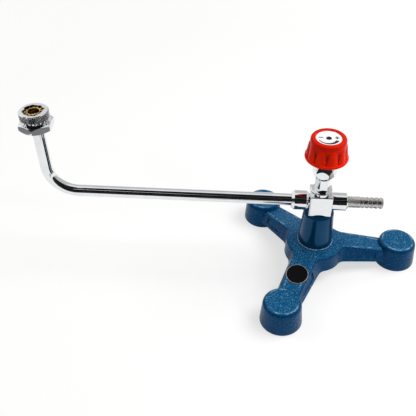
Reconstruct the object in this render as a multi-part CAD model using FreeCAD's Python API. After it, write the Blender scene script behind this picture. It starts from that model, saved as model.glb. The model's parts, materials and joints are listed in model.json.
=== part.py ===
import FreeCAD, Part
import os
from math import atan, cos, degrees, hypot, pi, radians, sin, sqrt, tan

# Side-arm bench bunsen burner, in millimetres.
# Origin: on the bench, on the axis of the upright post. +Z up, hose tail towards +X, gas arm towards -X.

# Main places
AXIS_Z = 72.5             # height of the gas axis through hose tail, valve and arm
ARM_REACH = 229.8         # post axis to the axis of the burner head
CLEAR = 0.05              # radial room of turned parts in their bores
SEAT = 0.02               # room between faces that turn against each other
EDGE_ROUND = 0.3          # rounding of small turned edges

# Cast tripod base
LEG_TURN = 7.4            # first leg's angle from +X, degrees
LEG_COUNT = 3
FOOT_CIRCLE_R = 75.0
FOOT_TOP_R = 15.7
FOOT_BOTTOM_R = 17.7
FOOT_H = 22.7
FOOT_TOP_ROUND = 3.6
FOOT_BOTTOM_ROUND = 1.0
PLAN_LOW_Z = 4.0          # hub wall and leg sides draw in between these two heights
PLAN_HIGH_Z = 30.0
LEG_LOW_HALF = 15.6       # half width of a leg at LEG_HALF_REACH, at the two heights
LEG_HIGH_HALF = 8.0
LEG_HALF_REACH = 35.0
LEG_TAPER = 0.1           # half width lost per millimetre of reach
HUB_LOW_R = 26.4
HUB_HIGH_R = 24.3
CROTCH_R = 10.0           # rounding between a leg's side and the hub
HUB_FLOOR_R = 25.0
HUB_FLOOR_Z = 13.0
LEG_SLOPE = 0.235         # fall of the leg's top per millimetre of reach
LEG_FLOOR_SLOPE = 0.14    # fall of the leg's underside
LEG_EDGE_ROUND = 1.5
LEG_END_IN_FOOT = 1.0     # a leg ends this far past the middle of its foot
PANEL_FROM_R = 33.0       # sunk panel on each side of a leg
PANEL_TO_R = 54.0
PANEL_DEPTH = 0.8
PANEL_CUT = 4.0           # width of the cut that sinks a panel
PANEL_MARGIN = 2.6        # from the panel's edges to the leg's top and underside

# Post
POST_FOOT_R = 15.0
POST_FOOT_Z = 29.2
POST_TOP_R = 12.7
POST_TOP_Z = 62.5
POST_TOP_ROUND = 2.4
POST_SPIGOT_R = 8.0
POST_SPIGOT_LENGTH = 8.0
BOLT_R = 4.0              # M8 tie bolt
BOLT_ROOM = 0.5           # gap round the bolt and past its end
BOLT_GRIP_IN_BLOCK = 5.6
BOLT_HEAD_AF = 13.0
BOLT_HEAD_H = 5.3
WASHER_R = 8.0
WASHER_H = 1.6
COUNTERBORE_R = 10.5
COUNTERBORE_TOP_Z = 19.0

# Badge disc on the front leg
BADGE_R = 9.3
BADGE_H = 0.7
BADGE_SEAT = 0.3          # depth of its flat seat in the leg
BADGE_REACH = 42.0        # distance of its centre from the post axis, along the leg
BADGE_LEG = 2             # the leg that points to the front

# Valve block
BLOCK_W = 18.5
BLOCK_H = 20.0
BLOCK_ROUND = 0.8
BLOCK_SPIGOT_R = 5.0      # threads of the hose tail and the outlet nipple
BLOCK_SPIGOT_DEPTH = 4.5
BONNET_SPIGOT_R = 5.5
BONNET_SPIGOT_DEPTH = 5.0
CHAMBER_R = 4.0
SEAT_Z = AXIS_Z + 2.4
SEAT_R = 1.5
INLET_DRILL_R = 2.0
OUTLET_DRILL_R = 0.9
OUTLET_DRILL_Z = SEAT_Z + 1.2

# Hose tail and its collar
INLET_WASHER_H = 0.5
COLLAR_R = 7.6
COLLAR_END_X = 22.0
COLLAR_CHAMFER = 0.9
COLLAR_SOCKET_X = 12.0
TAIL_R = 4.75
TAIL_ROOT_R = 4.4         # end held in the collar
TAIL_PLAIN_END_X = 32.6
TAIL_RIBS = 5
TAIL_RIB_PITCH = 3.75
TAIL_RIB_LAND = 1.0
TAIL_RIB_DEPTH = 0.65
TAIL_BORE_R = 2.9

# Bonnet, gland and spindle
BONNET_SEAL_H = 0.5
BONNET_FLANGE_R = 8.75
BONNET_FLANGE_H = 3.0
BONNET_FLANGE_ROUND = 0.8
BONNET_HEX_AF = 11.0
BONNET_HEX_TURN = 5.8
BONNET_HEX_TOP_Z = 98.5
BONNET_HEX_CONE = 0.9     # the hexagon's corners taper in at its foot
BONNET_HEX_CONE_H = 1.5
BONNET_NECK_R = 5.0       # thread for the gland nut
BONNET_NECK_TOP_Z = 105.0
PACKING_R = 4.2
PACKING_Z = 101.0
PACKING_H = 2.5
GLAND_AF = 17.0
GLAND_TURN = 47.0
GLAND_TOP_Z = 110.5
GLAND_ROOF_Z = 106.0
GLAND_CONE = 0.55         # radius lost per millimetre along its two cones
GLAND_BAND_LOW_Z = 103.0
GLAND_BAND_HIGH_Z = 105.4
SPINDLE_R = 4.0           # bore of the bonnet for the threaded part of the spindle
SPINDLE_SHOULDER_Z = 92.5
SPINDLE_STOP_Z = 95.0     # bonnet shoulder that keeps the spindle in
SPINDLE_FOOT_Z = 78.2
STEM_R = 3.0              # upper stem through the gland
STEM_ROOM = 0.2           # gap round the stem in the gland nut
STEM_FLAT = 2.4           # distance of the driving flat from the axis
NEEDLE_STEM_R = 2.0
NEEDLE_TIP_R = 0.4
NEEDLE_TIP_Z = 73.0
NEEDLE_TOP_Z = SEAT_Z + 0.9
NEEDLE_GAP = 0.03         # gap to the seat when shut
RING_GROOVE_Z = 89.4
RING_GROOVE_W = 1.6
RING_WIRE_R = 0.70

# Knob
KNOB_BOTTOM_Z = 117.0
KNOB_TOP_Z = 136.0
KNOB_LIP_R = 17.25
KNOB_LIP_H = 2.5
KNOB_LIP_ROUND = 0.9
KNOB_LIP_STEP = 2.4       # the lip stands this far out from the wall above it
KNOB_LOBES = 10
KNOB_LOBE_TURN = -77.6    # angle of a lobe from +X, degrees
KNOB_LOBE_LOW_R = 6.0     # radius of a lobe at the lip
KNOB_LOBE_HIGH_R = 5.6    # radius of a lobe at its rounded top
KNOB_LOBE_TOP_Z = 128.3
KNOB_CREST_LOW_R = 16.9
KNOB_CREST_HIGH_R = 15.2
KNOB_RIM_R = 14.0
KNOB_RIM_ROUND = 1.9
KNOB_WALL = 2.4
KNOB_INNER_ROUND = 1.0
KNOB_PLATE_H = 3.0
KNOB_HUB_R = 5.8
KNOB_HUB_LOW_Z = 112.6
STEM_FLAT_LOW_Z = KNOB_HUB_LOW_Z + 1.0
KNOB_RIBS = 4
KNOB_RIB_W = 1.6
DIAL_R = 10.2
DIAL_RECESS = 1.6
DIAL_H = 0.7
DIAL_ROOM = 0.1           # gap round the disc and round the screw in it
SCREW_HEAD_R = 2.1
SCREW_HEAD_H = 1.0
SCREW_SLOT_W = 0.7
SCREW_TIP_ROOM = 1.0      # depth of the spindle's hole below the screw
SCREW_R = 1.5
SCREW_LENGTH = 11.0

# Swivel of the arm
NIPPLE_SPIGOT_LENGTH = 3.7
NIPPLE_NECK_R = 5.8
NIPPLE_NECK_END_X = -10.4
NIPPLE_THREAD_R = 6.2
NIPPLE_END_X = -15.4
NIPPLE_BORE_R = 3.05
SWIVEL_WASHER_H = 0.5
UNION_R = 8.25
UNION_START_X = -10.0
UNION_START_R = 6.9
UNION_START_CONE = 1.9
UNION_END_X = -24.0
UNION_END_R = 6.6
UNION_END_CONE = 2.3
UNION_SHOULDER_X = -18.0
FERRULE_FLANGE_R = 5.9
FERRULE_TAIL_X = -27.0
FERRULE_BORE_R = 1.4
FERRULE_GROOVE_X = -13.0
FERRULE_GROOVE_W = 1.3
FERRULE_RING_WIRE_R = 0.5

# Gas pipe
PIPE_R = 5.0
PIPE_BORE_R = 4.0
PIPE_BEND_R = 24.0

# Burner head, on the axis of the arm's upright
SOCKET_AF = 25.2
SOCKET_TURN = 33.0
SOCKET_LOW_Z = 135.8
SOCKET_TOP_Z = 142.0
SOCKET_FACE_INSET = 0.3   # the flat end faces stop this far inside the flats
SOCKET_CHAMFER = 0.6      # height of the corner chamfer per millimetre of radius lost
SOCKET_WELL_R = 8.0
SOCKET_WELL_Z = 139.8
PIPE_END_Z = 138.0
JET_R = 3.0
JET_HEAD_AF = 7.0
JET_HEAD_H = 2.0
JET_NOSE_R = 1.6
JET_NOSE_TOP_Z = 144.2
JET_HOLE_R = 0.4
TUBE_R = 8.6
TUBE_BORE_R = 5.9
TUBE_SEAT_Z = 146.4
TUBE_MOUTH_R = 7.3
TUBE_TOP_Z = 149.4
PORT_COUNT = 20
PORT_W = 1.5
PORT_LOW_Z = 142.7
PORT_HIGH_Z = 144.9
COLLAR_PLAY = 0.1         # end play of the turning collar
SKIRT_R = 10.0
CAP_R = 11.55
CAP_LOW_Z = 145.2
CAP_BAND_TOP_Z = 151.0
CAP_TOP_Z = 151.4
CAP_MOUTH_R = 7.4
CAP_CROWN_R = 11.1        # edge of the flat top, inside its chamfer
CIRCLIP_Z = 147.9
CIRCLIP_WIRE_R = 0.35
CIRCLIP_GAP_W = 2.0
RETAINER_R = 7.1
RETAINER_TOP_Z = 150.5
RETAINER_NOTCHES = 12
RETAINER_NOTCH_R = 0.95
RETAINER_NOTCH_PCD_R = 6.3
RETAINER_HOLE_R = 4.6

V = FreeCAD.Vector
ORIGIN = V(0, 0, 0)
UP = V(0, 0, 1)


def outline(corners):
    # Closed wire in the XZ plane. A corner is (x, z) or (x, z, rounding radius).
    points = [V(c[0], 0, c[1]) for c in corners]
    rounds = [c[2] if len(c) > 2 else 0.0 for c in corners]
    count = len(points)
    starts, ends, arcs = [], [], []
    for i, p in enumerate(points):
        u = (points[i - 1] - p).normalize()
        v = (points[(i + 1) % count] - p).normalize()
        half = u.getAngle(v) / 2
        reach = rounds[i] / tan(half)
        middle = p + (u + v).normalize() * (rounds[i] / sin(half) - rounds[i])
        starts.append(p + u * reach)
        ends.append(p + v * reach)
        arcs.append(middle)
    edges = []
    for i in range(count):
        if rounds[i] > 0:
            edges.append(Part.Arc(starts[i], arcs[i], ends[i]).toShape())
        following = starts[(i + 1) % count]
        if ends[i].distanceToPoint(following) > 1e-6:
            edges.append(Part.LineSegment(ends[i], following).toShape())
    return Part.Wire(edges)


def turned(corners):
    # Solid of revolution about Z from (radius, height) corners.
    return Part.Face(outline(corners)).revolve(ORIGIN, UP, 360)


def tube(outer, inner, low, high):
    body = Part.makeCylinder(outer, high - low, V(0, 0, low))
    return body.cut(Part.makeCylinder(inner, high - low, V(0, 0, low)))


def rod(radius, low, high):
    return Part.makeCylinder(radius, high - low, V(0, 0, low))


def hexagon(across_flats, low, high, turn=0.0):
    corner = across_flats / 2 / cos(pi / 6)
    angles = [radians(turn + 60 * i) for i in range(7)]
    wire = Part.makePolygon([V(corner * cos(a), corner * sin(a), low) for a in angles])
    return Part.Face(wire).extrude(V(0, 0, high - low))


def ring(major, wire_radius, height):
    return Part.makeTorus(major, wire_radius, V(0, 0, height), UP)


def on_gas_axis(shape):
    # Heights along Z become places along X, on the gas axis.
    shape.rotate(ORIGIN, V(0, 1, 0), 90)
    shape.translate(V(0, 0, AXIS_Z))
    return shape


def on_head_axis(shape):
    shape.translate(V(-ARM_REACH, 0, 0))
    return shape


def around(shape, count, turn=0.0):
    # Copies of a shape at even angles about Z.
    copies = []
    for i in range(count):
        copy = shape.copy()
        copy.rotate(ORIGIN, UP, turn + 360.0 * i / count)
        copies.append(copy)
    return copies


def block_between(near, far):
    # Solid between two four-cornered sections whose matching sides lie in common planes.
    faces = [Part.Face(Part.makePolygon(near + near[:1])), Part.Face(Part.makePolygon(far + far[:1]))]
    for i in range(4):
        j = (i + 1) % 4
        faces.append(Part.Face(Part.makePolygon([near[i], near[j], far[j], far[i], near[i]])))
    shell = Part.makeShell(faces)
    shell.sewShape()
    solid = Part.makeSolid(shell)
    if solid.Volume < 0:
        solid.reverse()
    return solid


def leg_top(reach):
    return POST_FOOT_Z - LEG_SLOPE * (reach - POST_FOOT_R)


def leg_floor(reach):
    return HUB_FLOOR_Z - LEG_FLOOR_SLOPE * (reach - HUB_FLOOR_R)


def leg_half(height, reach):
    draft = (LEG_LOW_HALF - LEG_HIGH_HALF) / (PLAN_HIGH_Z - PLAN_LOW_Z)
    return LEG_LOW_HALF - draft * (height - PLAN_LOW_Z) - LEG_TAPER * (reach - LEG_HALF_REACH)


def plan_outline(hub_r, height):
    # Outline of the hub and its three tapering legs at one height, with rounded crotches.
    tilt = degrees(atan(LEG_TAPER))
    reach = hub_r + CROTCH_R
    lateral = leg_half(height, 0) * cos(radians(tilt)) + CROTCH_R
    along = sqrt(reach ** 2 - lateral ** 2)
    inward = (V(0, -1, 0) - V(along, lateral, 0) / reach).normalize() * CROTCH_R
    tip = leg_half(height, FOOT_CIRCLE_R)

    def at(leg_index, forward, sideways, turn=0.0):
        angle = LEG_TURN + 360.0 * leg_index / LEG_COUNT + turn
        return FreeCAD.Rotation(UP, angle).multVec(V(forward, sideways, height))

    def crotch(leg_index, side):
        # Start on the leg, middle and end on the hub of one rounded crotch.
        turn = -side * tilt
        start = at(leg_index, along, side * (lateral - CROTCH_R), turn)
        middle = at(leg_index, along + inward.x, side * (lateral + inward.y), turn)
        end = at(leg_index, along * hub_r / reach, side * lateral * hub_r / reach, turn)
        return start, middle, end

    edges = []
    for i in range(LEG_COUNT):
        right = crotch(i, -1)
        left = crotch(i, 1)
        following = crotch(i + 1, -1)
        corners = [right[0], at(i, FOOT_CIRCLE_R, -tip), at(i, FOOT_CIRCLE_R, tip), left[0]]
        for a, b in zip(corners, corners[1:]):
            edges.append(Part.LineSegment(a, b).toShape())
        edges.append(Part.Arc(*left).toShape())
        edges.append(Part.Arc(left[2], at(i + 0.5, hub_r, 0), following[2]).toShape())
        edges.append(Part.Arc(*reversed(following)).toShape())
    return Part.Wire(edges)


def leg_panel(side):
    # Sunk panel in the sloping side of a leg.
    def section(reach):
        high = leg_top(reach) - PANEL_MARGIN
        low = leg_floor(reach) + PANEL_MARGIN
        upper = leg_half(high, reach) - PANEL_DEPTH
        lower = leg_half(low, reach) - PANEL_DEPTH
        return [V(reach, side * upper, high), V(reach, side * lower, low),
                V(reach, side * (lower + PANEL_CUT), low), V(reach, side * (upper + PANEL_CUT), high)]
    return block_between(section(PANEL_FROM_R), section(PANEL_TO_R))


def tripod():
    # Hub and legs: drafted walls, kept between the sloping top and the underside.
    end = FOOT_CIRCLE_R + LEG_END_IN_FOOT
    outlines = [plan_outline(HUB_LOW_R, PLAN_LOW_Z), plan_outline(HUB_HIGH_R, PLAN_HIGH_Z)]
    walls = Part.makeLoft(outlines, True, True)
    envelope = turned([(0, HUB_FLOOR_Z), (HUB_FLOOR_R, HUB_FLOOR_Z), (end, leg_floor(end)),
                       (end, leg_top(end)), (POST_FOOT_R, POST_FOOT_Z), (0, POST_FOOT_Z)])
    body = walls.common(envelope)
    top_edges = [e for e in body.Edges if on_leg_top(e)]
    body = body.makeFillet(LEG_EDGE_ROUND, top_edges)
    panels = []
    for side in (-1, 1):
        panels += around(leg_panel(side), LEG_COUNT, LEG_TURN)
    return body.cut(panels)


def on_leg_top(edge):
    # True for the edges along the sloping top of the legs and the hub.
    span = edge.LastParameter - edge.FirstParameter
    points = [edge.valueAt(edge.FirstParameter + span * k / 4) for k in range(5)]
    reaches = [hypot(p.x, p.y) for p in points]
    level = all(abs(p.z - leg_top(r)) < SEAT for p, r in zip(points, reaches))
    return level and POST_FOOT_R + LEG_EDGE_ROUND < min(reaches) < FOOT_CIRCLE_R - LEG_EDGE_ROUND


def badge_place(shape, lift):
    # Lays a shape on the sloping top of the front leg.
    fall = FreeCAD.Rotation(V(0, 1, 0), degrees(atan(LEG_SLOPE)))
    place = V(BADGE_REACH, 0, leg_top(BADGE_REACH)) + fall.multVec(V(0, 0, lift))
    shape.Placement = FreeCAD.Placement(place, fall)
    shape.rotate(ORIGIN, UP, LEG_TURN + 360.0 * BADGE_LEG / LEG_COUNT)
    return shape


def base_casting():
    foot = turned([(0, 0), (FOOT_BOTTOM_R, 0, FOOT_BOTTOM_ROUND), (FOOT_TOP_R, FOOT_H, FOOT_TOP_ROUND),
                   (0, FOOT_H)])
    foot.translate(V(FOOT_CIRCLE_R, 0, 0))
    casting = tripod().fuse(around(foot, LEG_COUNT, LEG_TURN))
    casting = casting.cut(badge_place(rod(BADGE_R + CLEAR, 0, BADGE_H), -BADGE_SEAT))
    spigot_floor = POST_FOOT_Z - POST_SPIGOT_LENGTH - CLEAR
    casting = casting.cut(rod(POST_SPIGOT_R + CLEAR, spigot_floor, POST_FOOT_Z))
    casting = casting.cut(rod(BOLT_R + BOLT_ROOM, 0, POST_FOOT_Z))
    casting = casting.cut(rod(COUNTERBORE_R, 0, COUNTERBORE_TOP_Z))
    return casting.removeSplitter()


def post():
    spigot_floor = POST_FOOT_Z - POST_SPIGOT_LENGTH
    body = turned([(0, spigot_floor), (POST_SPIGOT_R, spigot_floor), (POST_SPIGOT_R, POST_FOOT_Z),
                   (POST_FOOT_R, POST_FOOT_Z), (POST_TOP_R, POST_TOP_Z, POST_TOP_ROUND), (0, POST_TOP_Z)])
    return body.cut(rod(BOLT_R + BOLT_ROOM, 0, POST_TOP_Z))


def bolt_washer():
    return tube(WASHER_R, BOLT_R + BOLT_ROOM, COUNTERBORE_TOP_Z - WASHER_H, COUNTERBORE_TOP_Z)


def tie_bolt():
    head_top = COUNTERBORE_TOP_Z - WASHER_H
    head = hexagon(BOLT_HEAD_AF, head_top - BOLT_HEAD_H, head_top)
    return head.fuse(rod(BOLT_R, head_top, POST_TOP_Z + BOLT_GRIP_IN_BLOCK)).removeSplitter()


def badge_disc():
    disc = turned([(0, 0), (BADGE_R, 0), (BADGE_R, BADGE_H, EDGE_ROUND), (0, BADGE_H)])
    return badge_place(disc, -BADGE_SEAT)


def valve_body():
    half = BLOCK_W / 2
    top = POST_TOP_Z + BLOCK_H
    block = Part.makeBox(BLOCK_W, BLOCK_W, BLOCK_H, V(-half, -half, POST_TOP_Z))
    block = block.makeFillet(BLOCK_ROUND, block.Edges)
    spigot_end = half - BLOCK_SPIGOT_DEPTH
    inlet = rod(BLOCK_SPIGOT_R + CLEAR, spigot_end, half)
    inlet = inlet.fuse(rod(INLET_DRILL_R, -INLET_DRILL_R, half))
    outlet = rod(BLOCK_SPIGOT_R + CLEAR, -half, -spigot_end)
    cuts = [on_gas_axis(inlet), on_gas_axis(outlet)]
    cuts.append(rod(BONNET_SPIGOT_R + CLEAR, top - BONNET_SPIGOT_DEPTH, top))
    cuts.append(rod(CHAMBER_R, SEAT_Z, top))
    cuts.append(rod(SEAT_R, AXIS_Z, top))
    cuts.append(rod(BOLT_R + CLEAR, POST_TOP_Z, POST_TOP_Z + BOLT_GRIP_IN_BLOCK + BOLT_ROOM))
    drill = Part.makeCylinder(OUTLET_DRILL_R, spigot_end, V(-spigot_end, 0, OUTLET_DRILL_Z), V(1, 0, 0))
    cuts.append(drill)
    return block.cut(cuts[0].multiFuse(cuts[1:]))


def inlet_washer():
    floor = BLOCK_W / 2 - BLOCK_SPIGOT_DEPTH
    return on_gas_axis(tube(BLOCK_SPIGOT_R, TAIL_BORE_R, floor, floor + INLET_WASHER_H))


def hose_collar():
    half = BLOCK_W / 2
    spigot = half - BLOCK_SPIGOT_DEPTH + INLET_WASHER_H
    socket = TAIL_ROOT_R + CLEAR
    body = turned([(TAIL_BORE_R, spigot), (BLOCK_SPIGOT_R, spigot), (BLOCK_SPIGOT_R, half),
                   (COLLAR_R, half, EDGE_ROUND), (COLLAR_R, COLLAR_END_X - COLLAR_CHAMFER),
                   (COLLAR_R - COLLAR_CHAMFER, COLLAR_END_X),
                   (socket, COLLAR_END_X), (socket, COLLAR_SOCKET_X), (TAIL_BORE_R, COLLAR_SOCKET_X)])
    return on_gas_axis(body)


def hose_tail():
    corners = [(TAIL_BORE_R, COLLAR_SOCKET_X), (TAIL_ROOT_R, COLLAR_SOCKET_X), (TAIL_ROOT_R, COLLAR_END_X),
               (TAIL_R, COLLAR_END_X), (TAIL_R, TAIL_PLAIN_END_X)]
    for i in range(TAIL_RIBS):
        start = TAIL_PLAIN_END_X + i * TAIL_RIB_PITCH
        crest = start + TAIL_RIB_PITCH - TAIL_RIB_LAND * 2
        corners.append((TAIL_R - TAIL_RIB_DEPTH, start))
        corners.append((TAIL_R, crest))
        corners.append((TAIL_R, crest + TAIL_RIB_LAND))
    end = TAIL_PLAIN_END_X + TAIL_RIBS * TAIL_RIB_PITCH
    corners += [(TAIL_R - TAIL_RIB_DEPTH, end), (TAIL_BORE_R, end)]
    return on_gas_axis(turned(corners))


def bonnet_seal():
    floor = POST_TOP_Z + BLOCK_H - BONNET_SPIGOT_DEPTH
    return tube(BONNET_SPIGOT_R, CHAMBER_R + CLEAR, floor, floor + BONNET_SEAL_H)


def bonnet():
    flange_low = POST_TOP_Z + BLOCK_H
    flange_top = flange_low + BONNET_FLANGE_H
    foot = flange_low - BONNET_SPIGOT_DEPTH + BONNET_SEAL_H
    corner = BONNET_HEX_AF / 2 / cos(pi / 6)
    body = rod(BONNET_SPIGOT_R, foot, flange_low)
    body = body.fuse(turned([(0, flange_low), (BONNET_FLANGE_R, flange_low, EDGE_ROUND),
                             (BONNET_FLANGE_R, flange_top, BONNET_FLANGE_ROUND), (0, flange_top)]))
    body = body.fuse(hexagon(BONNET_HEX_AF, flange_top, BONNET_HEX_TOP_Z, BONNET_HEX_TURN))
    body = body.fuse(rod(BONNET_NECK_R, BONNET_HEX_TOP_Z, BONNET_NECK_TOP_Z))
    trim = turned([(0, foot), (BONNET_FLANGE_R, foot), (BONNET_FLANGE_R, flange_top),
                   (corner - BONNET_HEX_CONE, flange_top), (corner, flange_top + BONNET_HEX_CONE_H),
                   (corner, BONNET_NECK_TOP_Z), (0, BONNET_NECK_TOP_Z)])
    body = body.common(trim)
    body = body.cut(rod(SPINDLE_R, foot, SPINDLE_STOP_Z))
    body = body.cut(rod(STEM_R + CLEAR, foot, BONNET_NECK_TOP_Z))
    return body.cut(rod(PACKING_R, PACKING_Z, BONNET_NECK_TOP_Z)).removeSplitter()


def gland_packing():
    return tube(PACKING_R - CLEAR, STEM_R + CLEAR, PACKING_Z, PACKING_Z + PACKING_H)


def gland_follower():
    low = PACKING_Z + PACKING_H
    body = rod(PACKING_R - CLEAR, low, GLAND_ROOF_Z)
    return body.cut(rod(STEM_R + CLEAR, low, GLAND_ROOF_Z))


def gland_nut():
    corner = GLAND_AF / 2 / cos(pi / 6)
    low = BONNET_HEX_TOP_Z
    low_r = corner - GLAND_CONE * (GLAND_BAND_LOW_Z - low)
    high_r = corner - GLAND_CONE * (GLAND_TOP_Z - GLAND_BAND_HIGH_Z)
    barrel = turned([(0, low), (low_r, low), (corner, GLAND_BAND_LOW_Z), (corner, GLAND_BAND_HIGH_Z),
                     (high_r, GLAND_TOP_Z), (0, GLAND_TOP_Z)])
    body = hexagon(GLAND_AF, low, GLAND_TOP_Z, GLAND_TURN).common(barrel)
    body = body.cut(rod(BONNET_NECK_R + CLEAR, low, GLAND_ROOF_Z))
    return body.cut(rod(STEM_R + STEM_ROOM, GLAND_ROOF_Z, GLAND_TOP_Z))


def knob_plate_low():
    return KNOB_TOP_Z - DIAL_RECESS - KNOB_PLATE_H


def stem_o_ring():
    # The ring sits in the spindle's groove and slides in the bonnet's bore.
    major = SPINDLE_R - CLEAR / 2 - RING_WIRE_R
    return ring(major, RING_WIRE_R, RING_GROOVE_Z + RING_GROOVE_W / 2)


def spindle():
    top = knob_plate_low()
    body_r = SPINDLE_R - CLEAR
    groove_r = body_r - 2 * RING_WIRE_R
    groove_top = RING_GROOVE_Z + RING_GROOVE_W
    needle_slope = (SEAT_R - NEEDLE_GAP - NEEDLE_TIP_R) / (SEAT_Z - NEEDLE_TIP_Z)
    needle_top_r = NEEDLE_TIP_R + needle_slope * (NEEDLE_TOP_Z - NEEDLE_TIP_Z)
    body = turned([(0, NEEDLE_TIP_Z), (NEEDLE_TIP_R, NEEDLE_TIP_Z), (needle_top_r, NEEDLE_TOP_Z),
                   (NEEDLE_STEM_R, NEEDLE_TOP_Z), (NEEDLE_STEM_R, SPINDLE_FOOT_Z), (body_r, SPINDLE_FOOT_Z),
                   (body_r, RING_GROOVE_Z), (groove_r, RING_GROOVE_Z), (groove_r, groove_top),
                   (body_r, groove_top), (body_r, SPINDLE_SHOULDER_Z),
                   (STEM_R, SPINDLE_SHOULDER_Z), (STEM_R, top), (0, top)])
    flat = Part.makeBox(2 * STEM_R, 2 * STEM_R, top, V(STEM_FLAT, -STEM_R, STEM_FLAT_LOW_Z))
    hole_floor = KNOB_TOP_Z - DIAL_RECESS - SCREW_LENGTH - SCREW_TIP_ROOM
    return body.cut(flat).cut(rod(SCREW_R + CLEAR, hole_floor, top))


def knob_lobe():
    low = V(KNOB_CREST_LOW_R - KNOB_LOBE_LOW_R, 0, KNOB_BOTTOM_Z)
    high = V(KNOB_CREST_HIGH_R - KNOB_LOBE_HIGH_R, 0, KNOB_LOBE_TOP_Z)
    run = high - low
    cone = Part.makeCone(KNOB_LOBE_LOW_R, KNOB_LOBE_HIGH_R, run.Length, low, run)
    return cone.fuse(Part.makeSphere(KNOB_LOBE_HIGH_R, high))


def knob():
    plate_top = KNOB_TOP_Z - DIAL_RECESS
    plate_low = knob_plate_low()
    lip_top = KNOB_BOTTOM_Z + KNOB_LIP_H
    inner_low_r = KNOB_LIP_R - 2 * KNOB_WALL
    inner_high_r = KNOB_RIM_R - KNOB_WALL
    recess_r = DIAL_R + DIAL_ROOM
    core = turned([(0, KNOB_BOTTOM_Z), (KNOB_LIP_R, KNOB_BOTTOM_Z, KNOB_LIP_ROUND),
                   (KNOB_LIP_R, lip_top, KNOB_LIP_ROUND), (KNOB_LIP_R - KNOB_LIP_STEP, lip_top),
                   (KNOB_RIM_R, KNOB_TOP_Z, KNOB_RIM_ROUND), (recess_r, KNOB_TOP_Z, EDGE_ROUND),
                   (recess_r, plate_top), (0, plate_top)])
    slab = rod(2 * KNOB_LIP_R, KNOB_BOTTOM_Z, KNOB_TOP_Z)
    lobes = [lobe.common(slab) for lobe in around(knob_lobe(), KNOB_LOBES, KNOB_LOBE_TURN)]
    body = core.multiFuse(lobes)
    body = body.cut(rod(recess_r, plate_top, KNOB_TOP_Z))
    hollow = turned([(0, KNOB_BOTTOM_Z), (inner_low_r, KNOB_BOTTOM_Z),
                     (inner_high_r, plate_low, KNOB_INNER_ROUND), (0, plate_low)])
    body = body.cut(hollow)
    rib = Part.makeBox(inner_low_r, KNOB_RIB_W, plate_low - lip_top, V(0, -KNOB_RIB_W / 2, lip_top))
    hub = rod(KNOB_HUB_R, KNOB_HUB_LOW_Z, plate_low)
    inner = hub.multiFuse([r.common(hollow) for r in around(rib, KNOB_RIBS, KNOB_LOBE_TURN)])
    body = body.fuse(inner)
    shaft_hole = rod(STEM_R + CLEAR, KNOB_HUB_LOW_Z, plate_low)
    flat = Part.makeBox(STEM_R, 4 * STEM_R, KNOB_TOP_Z, V(STEM_FLAT + CLEAR, -2 * STEM_R, STEM_FLAT_LOW_Z))
    body = body.cut(shaft_hole.cut(flat))
    return body.cut(rod(SCREW_R + DIAL_ROOM, plate_low, plate_top)).removeSplitter()


def dial_disc():
    low = KNOB_TOP_Z - DIAL_RECESS
    return tube(DIAL_R, SCREW_HEAD_R + DIAL_ROOM, low, low + DIAL_H)


def knob_screw():
    low = KNOB_TOP_Z - DIAL_RECESS
    top = low + SCREW_HEAD_H
    head = turned([(0, low), (SCREW_HEAD_R, low), (SCREW_HEAD_R, top, EDGE_ROUND), (0, top)])
    slot_place = V(-2 * SCREW_HEAD_R, -SCREW_SLOT_W / 2, low + SCREW_HEAD_H / 2)
    slot = Part.makeBox(4 * SCREW_HEAD_R, SCREW_SLOT_W, SCREW_HEAD_H, slot_place)
    return head.cut(slot).fuse(rod(SCREW_R, low - SCREW_LENGTH, low)).removeSplitter()


def outlet_nipple():
    half = BLOCK_W / 2
    body = turned([(0, NIPPLE_END_X), (NIPPLE_THREAD_R, NIPPLE_END_X, EDGE_ROUND),
                   (NIPPLE_THREAD_R, NIPPLE_NECK_END_X), (NIPPLE_NECK_R, NIPPLE_NECK_END_X),
                   (NIPPLE_NECK_R, -half), (BLOCK_SPIGOT_R, -half),
                   (BLOCK_SPIGOT_R, NIPPLE_SPIGOT_LENGTH - half), (0, NIPPLE_SPIGOT_LENGTH - half)])
    return on_gas_axis(body.cut(rod(NIPPLE_BORE_R, NIPPLE_END_X, 0)))


def swivel_washer():
    low = NIPPLE_END_X - SWIVEL_WASHER_H
    return on_gas_axis(tube(FERRULE_FLANGE_R, NIPPLE_BORE_R + STEM_ROOM, low, NIPPLE_END_X))


def union_nut():
    body = turned([(0, UNION_END_X), (UNION_END_R, UNION_END_X), (UNION_R, UNION_END_X + UNION_END_CONE),
                   (UNION_R, UNION_START_X - UNION_START_CONE), (UNION_START_R, UNION_START_X),
                   (0, UNION_START_X)])
    body = body.cut(rod(NIPPLE_THREAD_R + CLEAR, UNION_SHOULDER_X, UNION_START_X))
    return on_gas_axis(body.cut(rod(PIPE_R + CLEAR, UNION_END_X, UNION_START_X)))


def ferrule_flange_faces():
    return UNION_SHOULDER_X + SEAT, NIPPLE_END_X - SWIVEL_WASHER_H - SEAT


def pipe_ferrule():
    back, front = ferrule_flange_faces()
    spigot_r = NIPPLE_BORE_R - CLEAR
    groove_r = NIPPLE_BORE_R - 2 * FERRULE_RING_WIRE_R - CLEAR
    groove_end = FERRULE_GROOVE_X + FERRULE_GROOVE_W
    spigot_end = NIPPLE_NECK_END_X
    body = turned([(FERRULE_BORE_R, FERRULE_TAIL_X), (PIPE_BORE_R - CLEAR, FERRULE_TAIL_X),
                   (PIPE_BORE_R - CLEAR, back), (FERRULE_FLANGE_R, back), (FERRULE_FLANGE_R, front),
                   (spigot_r, front), (spigot_r, FERRULE_GROOVE_X), (groove_r, FERRULE_GROOVE_X),
                   (groove_r, groove_end), (spigot_r, groove_end), (spigot_r, spigot_end),
                   (FERRULE_BORE_R, spigot_end)])
    return on_gas_axis(body)


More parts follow.
